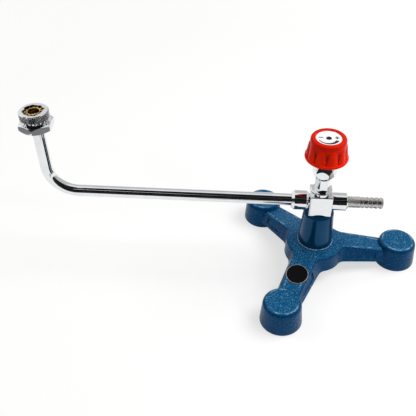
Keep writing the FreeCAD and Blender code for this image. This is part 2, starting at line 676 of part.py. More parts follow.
def ferrule_o_ring():
    major = NIPPLE_BORE_R - CLEAR / 2 - FERRULE_RING_WIRE_R
    return on_gas_axis(ring(major, FERRULE_RING_WIRE_R, FERRULE_GROOVE_X + FERRULE_GROOVE_W / 2))


def gas_pipe():
    start_x = ferrule_flange_faces()[0]
    bend_x = PIPE_BEND_R - ARM_REACH
    bend_z = AXIS_Z + PIPE_BEND_R
    a = V(start_x, 0, AXIS_Z)
    b = V(bend_x, 0, AXIS_Z)
    middle = V(bend_x - PIPE_BEND_R * sin(pi / 4), 0, bend_z - PIPE_BEND_R * cos(pi / 4))
    c = V(-ARM_REACH, 0, bend_z)
    d = V(-ARM_REACH, 0, PIPE_END_Z)
    path = Part.Wire([Part.LineSegment(a, b).toShape(), Part.Arc(b, middle, c).toShape(),
                      Part.LineSegment(c, d).toShape()])
    walls = []
    for radius in (PIPE_R, PIPE_BORE_R):
        circle = Part.Wire([Part.Circle(a, V(1, 0, 0), radius).toShape()])
        walls.append(path.makePipeShell([circle], True, False))
    return walls[0].cut(walls[1])


def burner_socket():
    corner = SOCKET_AF / 2 / cos(pi / 6)
    inner = SOCKET_AF / 2 - SOCKET_FACE_INSET
    drop = SOCKET_CHAMFER * (corner - inner)
    trim = turned([(0, SOCKET_LOW_Z), (inner, SOCKET_LOW_Z), (corner, SOCKET_LOW_Z + drop),
                   (corner, SOCKET_TOP_Z - drop), (inner, SOCKET_TOP_Z), (0, SOCKET_TOP_Z)])
    body = hexagon(SOCKET_AF, SOCKET_LOW_Z, SOCKET_TOP_Z, SOCKET_TURN).common(trim)
    body = body.cut(rod(PIPE_R + CLEAR, SOCKET_LOW_Z, PIPE_END_Z))
    body = body.cut(rod(SOCKET_WELL_R + CLEAR, SOCKET_WELL_Z, SOCKET_TOP_Z))
    return on_head_axis(body.cut(rod(JET_R + CLEAR, SOCKET_LOW_Z, SOCKET_TOP_Z)))


def jet():
    head_top = SOCKET_WELL_Z + JET_HEAD_H
    body = rod(JET_R, PIPE_END_Z + CLEAR, SOCKET_WELL_Z)
    body = body.fuse(hexagon(JET_HEAD_AF, SOCKET_WELL_Z, head_top))
    body = body.fuse(Part.makeCone(JET_R, JET_NOSE_R, JET_NOSE_TOP_Z - head_top, V(0, 0, head_top)))
    body = body.cut(rod(JET_HOLE_R, SOCKET_LOW_Z, JET_NOSE_TOP_Z))
    return on_head_axis(body.cut(rod(JET_NOSE_R, SOCKET_LOW_Z, SOCKET_WELL_Z)).removeSplitter())


def air_ports(outer):
    slot = Part.makeBox(2 * outer, PORT_W, PORT_HIGH_Z - PORT_LOW_Z, V(0, -PORT_W / 2, PORT_LOW_Z))
    return around(slot, PORT_COUNT)


def circlip_groove():
    return ring(TUBE_R, CIRCLIP_WIRE_R + CLEAR, CIRCLIP_Z)


def burner_body():
    body = turned([(TUBE_BORE_R, SOCKET_WELL_Z), (SOCKET_WELL_R, SOCKET_WELL_Z),
                   (SOCKET_WELL_R, SOCKET_TOP_Z), (TUBE_R, SOCKET_TOP_Z), (TUBE_R, TUBE_TOP_Z),
                   (TUBE_MOUTH_R, TUBE_TOP_Z),
                   (TUBE_MOUTH_R, TUBE_SEAT_Z), (TUBE_BORE_R, TUBE_SEAT_Z)])
    return on_head_axis(body.cut(air_ports(TUBE_R)).cut(circlip_groove()))


def collar_circlip():
    # Split spring wire, half in the tube's groove and half in the collar's.
    body = ring(TUBE_R, CIRCLIP_WIRE_R, CIRCLIP_Z)
    gap_low = CIRCLIP_Z - 2 * CIRCLIP_WIRE_R
    gap = Part.makeBox(2 * TUBE_R, CIRCLIP_GAP_W, 4 * CIRCLIP_WIRE_R, V(0, -CIRCLIP_GAP_W / 2, gap_low))
    return on_head_axis(body.cut(gap))


def air_collar():
    bore = TUBE_R + CLEAR
    low = SOCKET_TOP_Z + COLLAR_PLAY
    lip = TUBE_TOP_Z + COLLAR_PLAY
    body = turned([(bore, low), (SKIRT_R, low), (SKIRT_R, CAP_LOW_Z), (CAP_R, CAP_LOW_Z, EDGE_ROUND),
                   (CAP_R, CAP_BAND_TOP_Z), (CAP_CROWN_R, CAP_TOP_Z), (CAP_MOUTH_R, CAP_TOP_Z, EDGE_ROUND),
                   (CAP_MOUTH_R, lip), (bore, lip)])
    return on_head_axis(body.cut(air_ports(SKIRT_R)).cut(circlip_groove()))


def flame_retainer():
    body = tube(RETAINER_R, RETAINER_HOLE_R, TUBE_SEAT_Z, RETAINER_TOP_Z)
    notch = Part.makeCylinder(RETAINER_NOTCH_R, RETAINER_TOP_Z, V(RETAINER_NOTCH_PCD_R, 0, 0))
    mouth_place = V(RETAINER_NOTCH_PCD_R, -RETAINER_NOTCH_R, 0)
    mouth = Part.makeBox(RETAINER_R, 2 * RETAINER_NOTCH_R, RETAINER_TOP_Z, mouth_place)
    return on_head_axis(body.cut(around(notch.fuse(mouth), RETAINER_NOTCHES)))


PARTS = [base_casting, post, bolt_washer, tie_bolt, badge_disc, valve_body, inlet_washer, hose_collar,
         hose_tail, bonnet_seal, bonnet, gland_packing, gland_follower, gland_nut, stem_o_ring, spindle, knob,
         dial_disc, knob_screw, outlet_nipple, swivel_washer, union_nut, pipe_ferrule, ferrule_o_ring,
         gas_pipe, burner_socket, jet, burner_body, collar_circlip, air_collar, flame_retainer]

os.makedirs("parts", exist_ok=True)
for make in PARTS:
    shape = make()
    print(make.__name__, len(shape.Solids), round(shape.Volume, 1), shape.isValid())
    shape.exportStep("parts/" + make.__name__ + ".step")
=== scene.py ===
import json
from math import atan2, cos, pi, radians, sin

import bmesh
import bpy
from mathutils import Matrix, Vector


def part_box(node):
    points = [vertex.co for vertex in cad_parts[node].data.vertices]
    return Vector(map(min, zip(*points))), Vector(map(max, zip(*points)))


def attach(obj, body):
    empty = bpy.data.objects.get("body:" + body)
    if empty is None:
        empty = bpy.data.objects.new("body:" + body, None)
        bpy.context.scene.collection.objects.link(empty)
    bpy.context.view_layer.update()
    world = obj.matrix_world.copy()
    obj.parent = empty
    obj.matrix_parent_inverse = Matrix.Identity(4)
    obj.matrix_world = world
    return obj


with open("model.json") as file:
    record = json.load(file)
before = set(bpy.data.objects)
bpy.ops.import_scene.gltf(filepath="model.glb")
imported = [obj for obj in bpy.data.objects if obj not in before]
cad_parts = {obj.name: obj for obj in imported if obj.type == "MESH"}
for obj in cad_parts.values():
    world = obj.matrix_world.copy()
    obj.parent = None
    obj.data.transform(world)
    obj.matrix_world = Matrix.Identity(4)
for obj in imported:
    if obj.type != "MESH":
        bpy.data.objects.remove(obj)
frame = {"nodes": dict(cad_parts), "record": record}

scene = bpy.context.scene
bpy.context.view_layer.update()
mm = 0.001
tiny = 0.00001  # metres, less than any real edge
headX = -229.8  # axis of the burner head, mm from the post
white = (1, 1, 1, 1)
colourA, colourB = 6, 7  # the two colour sockets of a Mix node
resinIor = 1.5  # enamel, vinyl and plastic alike


def linear(code):
    channels = [int(code[i:i + 2], 16) / 255 for i in (1, 3, 5)]
    return tuple(c / 12.92 if c <= 0.04045 else ((c + 0.055) / 1.055) ** 2.4 for c in channels) + (1.0,)


def grain(size):
    return 1 / (size * mm)  # pattern scale for a grain of so many mm


def addNode(tree, kind, inputs=None, **settings):
    node = tree.nodes.new("ShaderNode" + kind)
    for name, value in settings.items():
        setattr(node, name, value)
    for socket, value in (inputs or {}).items():
        if isinstance(value, bpy.types.Node):
            # a whole node stands for its first live output
            value = next(output for output in value.outputs if output.enabled)
        if isinstance(value, bpy.types.NodeSocket):
            tree.links.new(value, node.inputs[socket])
        else:
            node.inputs[socket].default_value = value
    return node


def startMaterial(name):
    material = bpy.data.materials.new(name)
    material.use_nodes = True
    tree = material.node_tree
    tree.nodes.clear()
    place = addNode(tree, "TexCoord").outputs["Object"]
    return material, tree, place


def coat(tree, sockets):
    shader = addNode(tree, "BsdfPrincipled", sockets)
    addNode(tree, "OutputMaterial", {"Surface": shader})


# camera, in mm and degrees

cameraSetup = {"place": (-57.544, -390.287, 396.936), "yaw": -5.3923, "pitch": 40.784, "roll": -0.9809,
               "lens": 51.92, "sensor": 36, "near": 10}


def placeCamera(setup):
    yaw, pitch, roll = (radians(setup[key]) for key in ("yaw", "pitch", "roll"))
    ahead = Vector((sin(yaw) * cos(pitch), cos(yaw) * cos(pitch), -sin(pitch)))
    level = Vector((cos(yaw), -sin(yaw), 0))
    upright = level.cross(ahead)
    right = cos(roll) * level + sin(roll) * upright
    up = cos(roll) * upright - sin(roll) * level
    data = bpy.data.cameras.new("benchCamera")
    data.lens = setup["lens"]
    data.sensor_width = setup["sensor"]
    data.clip_start = setup["near"] * mm
    camera = bpy.data.objects.new("benchCamera", data)
    turn = Matrix((right, up, -ahead)).transposed().to_4x4()
    camera.matrix_world = Matrix.Translation(Vector(setup["place"]) * mm) @ turn
    scene.collection.objects.link(camera)
    scene.camera = camera


placeCamera(cameraSetup)
scene.view_settings.view_transform = "Standard"
print("camera placed")

# floor, room and lamps, in metres

floorSetup = {"size": 8, "colour": "#AEAEAD", "dull": 0.9, "shine": 0.1,
              "lift": (0.59, 0.86), "liftAt": (0.5, 2.2)}

# places in the room are parts of a direction: X to the right, Y away from the camera, Z up
roomSetup = {
    "fill": 0.34,  # even light on matt surfaces; all the rest shows in the metal only
    "dark": 0.008, "wall": 0.58, "wallAt": (0.06, 0.24), "wrap": 0.35,
    "left": 1.7, "leftAt": (-0.45, -0.25),
    "ceiling": 1.9, "ceilingFrom": 0.75,
    "strip": (1.3, 0.15), "stripAt": (-0.14, -0.02),
    "stripHeight": 0.78, "stripHalf": 0.014, "stripBefore": -0.1,
}

# slant is how far off square a card may be met before it vanishes, from 0 to 1
cardSetup = {
    "greyCard": {"middle": (-0.07, -0.216, 0.001), "wide": 0.1, "deep": 0.11, "turn": (0, 0, 0),
                 "slant": 0.7, "colour": "#7E7E7E"},
    "leftCard": {"middle": (-0.515, -0.05, 0.001), "wide": 0.14, "deep": 0.2, "turn": (0, 0, 0),
                 "slant": 0.7, "colour": "#828282"},
    "blueCard": {"middle": (-0.125, 0.0, 0.031), "wide": 0.06, "deep": 0.12, "turn": (0, 96, 0),
                 "slant": 0.33, "colour": "#10293F"},
    "blackCard": {"middle": (0.0, -0.42, 0.15), "wide": 2.4, "deep": 0.3, "turn": (90, 0, 0),
                  "slant": 0.7, "colour": "#0A0A0A"},
}
cardDull = 0.9

lampSetup = {
    "keyBox": {"place": (0.8, 0.2, 1.25), "aim": (-0.02, 0.0, 0.05), "size": 0.9, "watts": 15.5},
    "sideBox": {"place": (-1.0, 0.1, 0.9), "aim": (-0.05, 0.0, 0.05), "size": 0.6, "watts": 3.0},
    "frontBox": {"place": (0.75, -0.65, 0.75), "aim": (0.0, 0.0, 0.03), "size": 0.22, "watts": 2.2},
}


def layFloor(setup):
    bpy.ops.object.select_all(action="DESELECT")
    bpy.ops.mesh.primitive_plane_add(size=setup["size"])
    floor = bpy.context.object
    floor.name = "floor"
    material, tree, place = startMaterial("white studio paper")
    paper = addNode(tree, "BsdfPrincipled", {
        "Base Color": linear(setup["colour"]), "Roughness": setup["dull"],
        "Specular IOR Level": setup["shine"]})
    # the camera and the metal see the paper lifted to white, and it keeps the shadow
    rays = addNode(tree, "LightPath")
    seen = addNode(tree, "Math", {
        0: rays.outputs["Is Camera Ray"], 1: rays.outputs["Is Glossy Ray"]}, operation="MAXIMUM")
    # further from the lamps it needs more
    away = addNode(tree, "VectorMath", {0: place}, operation="LENGTH")
    lift = addNode(tree, "MapRange", {
        "Value": away, "From Min": setup["liftAt"][0], "From Max": setup["liftAt"][1],
        "To Min": setup["lift"][0], "To Max": setup["lift"][1]})
    share = addNode(tree, "Math", {0: seen, 1: lift}, operation="MULTIPLY")
    glow = addNode(tree, "Emission", {"Color": white, "Strength": share})
    lifted = addNode(tree, "AddShader", {0: paper, 1: glow})
    addNode(tree, "OutputMaterial", {"Surface": lifted})
    floor.data.materials.append(material)


def layCards(setup):
    # dark cards seen only in the metal: two lie on the floor and darken the flats of the hexagon,
    # one stands under the pipe and draws the line on the riser, one stands in front and deepens the bands
    for name, card in setup.items():
        bpy.ops.object.select_all(action="DESELECT")
        bpy.ops.mesh.primitive_plane_add(size=1, location=card["middle"],
                                         rotation=[radians(turn) for turn in card["turn"]])
        sheet = bpy.context.object
        sheet.name = name
        sheet.scale = (card["wide"], card["deep"], 1)
        material, tree = startMaterial(name)[:2]
        board = addNode(tree, "BsdfPrincipled", {
            "Base Color": linear(card["colour"]), "Roughness": cardDull})
        # a card met at more than its slant vanishes, so that it leaves no spot on the pipe above it
        facing = addNode(tree, "LayerWeight").outputs["Facing"]
        edgeOn = addNode(tree, "Math", {0: facing, 1: card["slant"]}, operation="GREATER_THAN")
        clear = addNode(tree, "BsdfTransparent")
        thin = addNode(tree, "MixShader", {0: edgeOn, 1: board, 2: clear})
        addNode(tree, "OutputMaterial", {"Surface": thin})
        sheet.data.materials.append(material)
        sheet.visible_camera = False
        sheet.visible_diffuse = False
        sheet.visible_shadow = False


def hangRoom(setup):
    world = bpy.data.worlds.new("studio")
    scene.world = world
    world.use_nodes = True
    tree = world.node_tree
    tree.nodes.clear()
    rays = addNode(tree, "LightPath")
    way = addNode(tree, "TexCoord").outputs["Generated"]
    split = addNode(tree, "SeparateXYZ", {"Vector": way})
    # bright paper behind the object, dark room behind the camera: that is what puts the bands on the chrome
    aside = addNode(tree, "Math", {0: split.outputs["X"]}, operation="ABSOLUTE")
    behind = addNode(tree, "Math", {
        0: aside, 1: setup["wrap"], 2: split.outputs["Y"]}, operation="MULTIPLY_ADD")
    wall = addNode(tree, "MapRange", {
        "Value": behind, "From Min": setup["wallAt"][0], "From Max": setup["wallAt"][1],
        "To Min": setup["dark"], "To Max": setup["wall"]}, interpolation_type="SMOOTHSTEP")
    # brighter to the left and overhead
    left = addNode(tree, "MapRange", {
        "Value": split.outputs["X"], "From Min": setup["leftAt"][0], "From Max": setup["leftAt"][1],
        "To Min": setup["left"], "To Max": 1})
    sides = addNode(tree, "Math", {0: wall, 1: left}, operation="MULTIPLY")
    above = addNode(tree, "MapRange", {
        "Value": split.outputs["Z"], "From Min": setup["ceilingFrom"],
        "To Min": 1, "To Max": setup["ceiling"]})
    # a narrow strip high in front draws the thin line in the dark band, and fades to the right
    strip = addNode(tree, "Math", {
        0: split.outputs["Z"], 1: setup["stripHeight"], 2: setup["stripHalf"]}, operation="COMPARE")
    before = addNode(tree, "Math", {0: split.outputs["Y"], 1: setup["stripBefore"]}, operation="LESS_THAN")
    lit = addNode(tree, "Math", {0: strip, 1: before}, operation="MULTIPLY")
    fade = addNode(tree, "MapRange", {
        "Value": split.outputs["X"], "From Min": setup["stripAt"][0], "From Max": setup["stripAt"][1],
        "To Min": setup["strip"][0], "To Max": setup["strip"][1]})
    line = addNode(tree, "Math", {0: lit, 1: fade}, operation="MULTIPLY")
    studio = addNode(tree, "Math", {0: sides, 1: above, 2: line}, operation="MULTIPLY_ADD")
    fill = addNode(tree, "Background", {"Color": white, "Strength": setup["fill"]})
    mirrored = addNode(tree, "Background", {"Color": studio})
    plain = addNode(tree, "Background", {"Color": white, "Strength": 1})
    inner = addNode(tree, "MixShader", {0: rays.outputs["Is Glossy Ray"], 1: fill, 2: mirrored})
    outer = addNode(tree, "MixShader", {0: rays.outputs["Is Camera Ray"], 1: inner, 2: plain})
    addNode(tree, "OutputWorld", {"Surface": outer})


def hangLamps(setup):
    for name, lamp in setup.items():
        data = bpy.data.lights.new(name, "AREA")
        data.energy = lamp["watts"]
        data.size = lamp["size"]
        light = bpy.data.objects.new(name, data)
        light.location = lamp["place"]
        away = Vector(lamp["place"]) - Vector(lamp["aim"])
        light.rotation_euler = away.to_track_quat("Z", "Y").to_euler()
        light.visible_glossy = False  # the metal mirrors the room instead
        scene.collection.objects.link(light)


layFloor(floorSetup)
layCards(cardSetup)
hangRoom(roomSetup)
hangLamps(lampSetup)
print("floor, room and lamps ready")

# finishes, with all sizes in mm

# painted highlight: where the pale line lies on the legs and round the feet
legHighlightSetup = {"turn": 7.4, "foot": 75, "rim": 13.1, "rimWide": 0.9, "half": (8.0, 5.5), "halfAt": (35, 60),
            "edgeWide": 0.8, "start": (26, 30), "stop": (58, 61), "broken": (0.45, 0.6), "strength": 0.65}


# returns the mask of the painted highlight on the leg edges and foot rims
def legEdgeHighlights(tree, place, specks, setup):
    # the three legs are alike, so the turn is wrapped to one third and one leg's measures serve all
    split = addNode(tree, "SeparateXYZ", {"Vector": place})
    flat = addNode(tree, "Mapping", {"Vector": place, "Scale": (1 / mm, 1 / mm, 0)})
    reach = addNode(tree, "VectorMath", {0: flat}, operation="LENGTH")
    turn = addNode(tree, "Math", {0: split.outputs["Y"], 1: split.outputs["X"]}, operation="ARCTAN2")
    fromLeg = addNode(tree, "Math", {0: turn, 1: radians(setup["turn"])}, operation="SUBTRACT")
    third = addNode(tree, "Math", {0: fromLeg, 1: pi / 3, 2: -pi / 3}, operation="WRAP")
    cosine = addNode(tree, "Math", {0: third}, operation="COSINE")
    sine = addNode(tree, "Math", {0: third}, operation="SINE")
    along = addNode(tree, "Math", {0: reach, 1: cosine}, operation="MULTIPLY")
    across = addNode(tree, "Math", {0: reach, 1: sine}, operation="MULTIPLY")
    # round the top of the foot
    onLeg = addNode(tree, "CombineXYZ", {"X": along, "Y": across})
    toFoot = addNode(tree, "VectorMath", {0: onLeg, 1: (setup["foot"], 0, 0)}, operation="DISTANCE")
    offRim = addNode(tree, "Math", {0: toFoot, 1: setup["rim"]}, operation="SUBTRACT")
    rimGap = addNode(tree, "Math", {0: offRim}, operation="ABSOLUTE")
    rim = addNode(tree, "MapRange", {
        "Value": rimGap, "From Max": setup["rimWide"], "To Min": 1, "To Max": 0})
    # along both edges of the leg, which narrows outwards, between the hub and the foot
    half = addNode(tree, "MapRange", {
        "Value": along, "From Min": setup["halfAt"][0], "From Max": setup["halfAt"][1],
        "To Min": setup["half"][0], "To Max": setup["half"][1]}, clamp=False)
    aside = addNode(tree, "Math", {0: across}, operation="ABSOLUTE")
    offEdge = addNode(tree, "Math", {0: aside, 1: half}, operation="SUBTRACT")
    edgeGap = addNode(tree, "Math", {0: offEdge}, operation="ABSOLUTE")
    edge = addNode(tree, "MapRange", {
        "Value": edgeGap, "From Max": setup["edgeWide"], "To Min": 1, "To Max": 0})
    pastHub = addNode(tree, "MapRange", {
        "Value": along, "From Min": setup["start"][0], "From Max": setup["start"][1]})
    beforeFoot = addNode(tree, "MapRange", {
        "Value": along, "From Min": setup["stop"][0], "From Max": setup["stop"][1],
        "To Min": 1, "To Max": 0})
    span = addNode(tree, "Math", {0: pastHub, 1: beforeFoot}, operation="MULTIPLY")
    legEdge = addNode(tree, "Math", {0: edge, 1: span}, operation="MULTIPLY")
    both = addNode(tree, "Math", {0: rim, 1: legEdge}, operation="MAXIMUM")
    broken = addNode(tree, "MapRange", {
        "Value": specks, "From Min": setup["broken"][0], "From Max": setup["broken"][1],
        "To Max": setup["strength"]})
    return addNode(tree, "Math", {0: both, 1: broken}, operation="MULTIPLY")


hammerSetup = {
    "pebble": 1.3, "pebbleSoft": 0.6, "lump": 6, "fleck": 0.8,
    # wall and top: painted shade and painted light on one blue; flake: pale flecks, partly real flake,
    # partly painted glint; edge: painted highlight
    "wall": "#00416E", "top": "#0B5A86", "flakeAndGlint": "#7DBDE6", "edge": "#A9D3EB", "bare": "#3A3C3E",
    "levelFrom": 0.8, "levelLitShare": 0.75, "lumpPale": (0.8, -0.4),
    "flakeAt": (0.55, 0.7), "flakeGlintShare": (0.12, 0.6),
    "bareRagged": 1.1, "bareAt": (-0.3, 0.1), "bareShare": 0.8,
    "dull": (0.18, 0.34), "metallic": 0.3, "shine": 0.08,
    "lumpHeight": 0.5, "lumpStrength": 0.6, "pebbleHeight": 0.4, "pebbleStrength": 0.8,
}


def hammerEnamel(setup):
    # hammer enamel on sand-cast iron: a pebbled skin that breaks highlights into small bright flecks
    # the aluminium flake in the enamel gives the half-metallic blue shine
    material, tree, place = startMaterial("blue hammer enamel on cast iron")
    pebbles = addNode(tree, "TexVoronoi", {
        "Vector": place, "Scale": grain(setup["pebble"]), "Smoothness": setup["pebbleSoft"]},
        feature="SMOOTH_F1")
    lumps = addNode(tree, "TexNoise", {
        "Vector": place, "Scale": grain(setup["lump"]), "Detail": 4, "Roughness": 0.6})
    flecks = addNode(tree, "TexNoise", {"Vector": place, "Scale": grain(setup["fleck"]), "Detail": 2})
    # painted light: level tops are painted paler than the walls, as if lit from above, and carry more of the
    # pale flecks
    facing = addNode(tree, "TexCoord").outputs["Normal"]
    upward = addNode(tree, "SeparateXYZ", {"Vector": facing})
    level = addNode(tree, "MapRange", {"Value": upward.outputs["Z"], "From Min": setup["levelFrom"]})
    patchy = addNode(tree, "Math", {
        0: lumps, 1: setup["lumpPale"][0], 2: setup["lumpPale"][1]}, operation="MULTIPLY_ADD")
    pale = addNode(tree, "Math", {0: level, 1: setup["levelLitShare"], 2: patchy}, operation="MULTIPLY_ADD")
    tone = addNode(tree, "Mix", {
        0: pale, colourA: linear(setup["wall"]), colourB: linear(setup["top"])}, data_type="RGBA")
    # painted glint: the pale flecks are partly the enamel's own flake and partly painted sparkle, denser on
    # level tops
    most = addNode(tree, "MapRange", {
        "Value": level, "To Min": setup["flakeGlintShare"][0], "To Max": setup["flakeGlintShare"][1]})
    glintSpeck = addNode(tree, "MapRange", {
        "Value": flecks, "From Min": setup["flakeAt"][0], "From Max": setup["flakeAt"][1], "To Max": most})
    flakedAndGlinting = addNode(tree, "Mix", {
        0: glintSpeck, colourA: tone, colourB: linear(setup["flakeAndGlint"])}, data_type="RGBA")
    # painted highlight: a broken pale line along the edges of the legs and round the tops of the feet
    edges = legEdgeHighlights(tree, place, lumps, legHighlightSetup)
    edgeHighlighted = addNode(tree, "Mix", {
        0: edges, colourA: flakedAndGlinting, colourB: linear(setup["edge"])}, data_type="RGBA")
    # paint rubbed off the lowest half millimetre of the feet
    split = addNode(tree, "SeparateXYZ", {"Vector": place})
    ragged = addNode(tree, "Math", {
        0: lumps, 1: -setup["bareRagged"] * mm, 2: split.outputs["Z"]}, operation="MULTIPLY_ADD")
    rubbed = addNode(tree, "MapRange", {
        "Value": ragged, "From Min": setup["bareAt"][0] * mm, "From Max": setup["bareAt"][1] * mm,
        "To Min": setup["bareShare"], "To Max": 0})
    worn = addNode(tree, "Mix", {
        0: rubbed, colourA: edgeHighlighted, colourB: linear(setup["bare"])}, data_type="RGBA")
    dull = addNode(tree, "MapRange", {
        "Value": flecks, "To Min": setup["dull"][0], "To Max": setup["dull"][1]})
    cast = addNode(tree, "Bump", {
        "Height": lumps, "Strength": setup["lumpStrength"], "Distance": setup["lumpHeight"] * mm})
    skin = addNode(tree, "Bump", {
        "Height": pebbles, "Strength": setup["pebbleStrength"], "Distance": setup["pebbleHeight"] * mm,
        "Normal": cast})
    coat(tree, {"Base Color": worn, "Metallic": setup["metallic"], "Roughness": dull,
                "IOR": resinIor, "Specular IOR Level": setup["shine"], "Normal": skin})
    return material


glossSetup = {"peel": 1.8, "cloud": 14, "dark": "#063457", "pale": "#0E5079",
              "metallic": 0.45, "dull": 0.16, "shine": 0.15, "peelHeight": 0.1, "peelStrength": 0.12}


def glossEnamel(setup):
    # stoved gloss enamel on turned steel: smooth and wet-looking, with a slight orange peel
    material, tree, place = startMaterial("blue gloss enamel on turned steel")
    peel = addNode(tree, "TexNoise", {"Vector": place, "Scale": grain(setup["peel"]), "Detail": 1})
    cloud = addNode(tree, "TexNoise", {"Vector": place, "Scale": grain(setup["cloud"]), "Detail": 2})
    paint = addNode(tree, "Mix", {
        0: cloud, colourA: linear(setup["dark"]), colourB: linear(setup["pale"])}, data_type="RGBA")
    skin = addNode(tree, "Bump", {
        "Height": peel, "Strength": setup["peelStrength"], "Distance": setup["peelHeight"] * mm})
    coat(tree, {"Base Color": paint, "Metallic": setup["metallic"], "Roughness": setup["dull"],
                "IOR": resinIor, "Specular IOR Level": setup["shine"], "Normal": skin})
    return material


chromeSetup = {"smudge": 9, "wave": 16, "dark": "#D9DCE0", "pale": "#F1F2F3", "smudgeAt": (0.4, 0.75),
               "dull": (0.03, 0.09), "waveHeight": 0.2, "waveStrength": 0.15}


def chromePlate(setup):
    # bright chrome plate over polished brass: a near mirror with faint finger smudges and a slight waviness
    material, tree, place = startMaterial("bright chrome plate")
    smudge = addNode(tree, "TexNoise", {"Vector": place, "Scale": grain(setup["smudge"]), "Detail": 4})
    wave = addNode(tree, "TexNoise", {"Vector": place, "Scale": grain(setup["wave"]), "Detail": 1})
    tint = addNode(tree, "Mix", {
        0: smudge, colourA: linear(setup["dark"]), colourB: linear(setup["pale"])}, data_type="RGBA")
    dull = addNode(tree, "MapRange", {
        "Value": smudge, "From Min": setup["smudgeAt"][0], "From Max": setup["smudgeAt"][1],
        "To Min": setup["dull"][0], "To Max": setup["dull"][1]})
    skin = addNode(tree, "Bump", {
        "Height": wave, "Strength": setup["waveStrength"], "Distance": setup["waveHeight"] * mm})
    coat(tree, {"Base Color": tint, "Metallic": 1, "Roughness": dull, "Normal": skin})
    return material


def headRadius(tree, place):
    # distance from the axis of the burner head
    centred = addNode(tree, "Mapping", {
        "Vector": place, "Location": (-headX * mm, 0, 0), "Scale": (1, 1, 0)})
    return addNode(tree, "VectorMath", {0: centred}, operation="LENGTH")


def knurlChrome(setup):
    # chrome over a cut knurl: bright crests, with painted shade darkening the grooves between them
    material, tree, place = startMaterial("chrome plate on cut knurl")
    crest = addNode(tree, "MapRange", {
        "Value": headRadius(tree, place), "From Min": setup["radius"] * mm,
        "From Max": (setup["radius"] + setup["rise"] * setup["brightFrom"]) * mm})
    tint = addNode(tree, "Mix", {
        0: crest, colourA: linear(setup["groove"]), colourB: linear(setup["crest"])}, data_type="RGBA")
    coat(tree, {"Base Color": tint, "Metallic": 1, "Roughness": setup["dull"]})
    return material


def shadePaintedMetal(name, setup):
    # painted shade: black out to a ragged radius from the axis of the burner head, bright plate beyond it
    material, tree, place = startMaterial(name)
    reach = headRadius(tree, place)
    shadePatches = addNode(tree, "TexNoise", {
        "Vector": place, "Scale": grain(setup["patch"]), "Detail": setup["detail"],
        "Roughness": setup["rough"]})
    ragged = addNode(tree, "Math", {0: shadePatches, 1: setup["ragged"] * mm, 2: reach}, operation="MULTIPLY_ADD")
    unshaded = addNode(tree, "MapRange", {
        "Value": ragged, "From Min": setup["unshadedAt"][0] * mm, "From Max": setup["unshadedAt"][1] * mm})
    tint = addNode(tree, "Mix", {
        0: unshaded, colourA: linear(setup["paintedShade"]), colourB: linear(setup["plate"])}, data_type="RGBA")
    dull = addNode(tree, "MapRange", {
        "Value": unshaded, "To Min": setup["dull"][0], "To Max": setup["dull"][1]})
    coat(tree, {"Base Color": tint, "Metallic": 1, "Roughness": dull})
    return material


def tubeShadedInside():
    # plated tube, bright outside, painted dark inside as painted shade
    setup = {"patch": 2, "detail": 3, "rough": 0.5, "ragged": 0.3, "unshadedAt": (8.45, 8.7),
             "paintedShade": "#33271A", "plate": "#DCDEE1", "dull": (0.65, 0.1)}
    return shadePaintedMetal("plated tube with painted shade inside", setup)


def mouthShadedPatches():
    # chrome collar whose top is painted dark in patches round the mouth, a painted reflection and painted
    # shade
    setup = {"patch": 5, "detail": 4, "rough": 0.7, "ragged": -7, "unshadedAt": (4.2, 5.2),
             "paintedShade": "#1C1815", "plate": "#EDEEF0", "dull": (0.5, 0.08)}
    return shadePaintedMetal("chrome plate with painted shade at the mouth", setup)


nickelSetup = {"ring": 0.9, "ringWander": 1.5, "smudge": 2, "dark": "#ACA8A1", "pale": "#F4F3F0",
               "dull": (0.16, 0.32), "ringHeight": 0.3, "ringStrength": 1}


def turnedNickel(setup):
    # satin nickel left from the lathe: soft grey with fine turning rings round the tail
    material, tree, place = startMaterial("satin nickel off the lathe")
    # the rings are coarser than the tool left them, so that they show; a wave of scale 1 is pi / 10 long
    rings = addNode(tree, "TexWave", {
        "Vector": place, "Scale": pi / 10 * grain(setup["ring"]), "Distortion": setup["ringWander"],
        "Detail": 2}, bands_direction="X")
    smudge = addNode(tree, "TexNoise", {"Vector": place, "Scale": grain(setup["smudge"]), "Detail": 3})
    tint = addNode(tree, "Mix", {
        0: smudge, colourA: linear(setup["dark"]), colourB: linear(setup["pale"])}, data_type="RGBA")
    dull = addNode(tree, "MapRange", {
        "Value": smudge, "To Min": setup["dull"][0], "To Max": setup["dull"][1]})
    skin = addNode(tree, "Bump", {
        "Height": rings.outputs["Fac"], "Strength": setup["ringStrength"],
        "Distance": setup["ringHeight"] * mm})
    coat(tree, {"Base Color": tint, "Metallic": 1, "Roughness": dull, "Normal": skin})
    return material


zincSetup = {"spangle": 1.5, "cloud": 4, "grey": "#B9BABC", "yellow": "#D6D2C2", "dull": (0.28, 0.42)}


def zincSteel(setup):
    # zinc-plated steel: soft grey metal with a mottled, slightly yellow passivation
    material, tree, place = startMaterial("zinc-plated steel")
    spangle = addNode(tree, "TexVoronoi", {"Vector": place, "Scale": grain(setup["spangle"])})
    cloud = addNode(tree, "TexNoise", {"Vector": place, "Scale": grain(setup["cloud"]), "Detail": 2})
    tint = addNode(tree, "Mix", {
        0: cloud, colourA: linear(setup["grey"]), colourB: linear(setup["yellow"])}, data_type="RGBA")
    dull = addNode(tree, "MapRange", {
        "Value": spangle, "To Min": setup["dull"][0], "To Max": setup["dull"][1]})
    coat(tree, {"Base Color": tint, "Metallic": 1, "Roughness": dull})
    return material


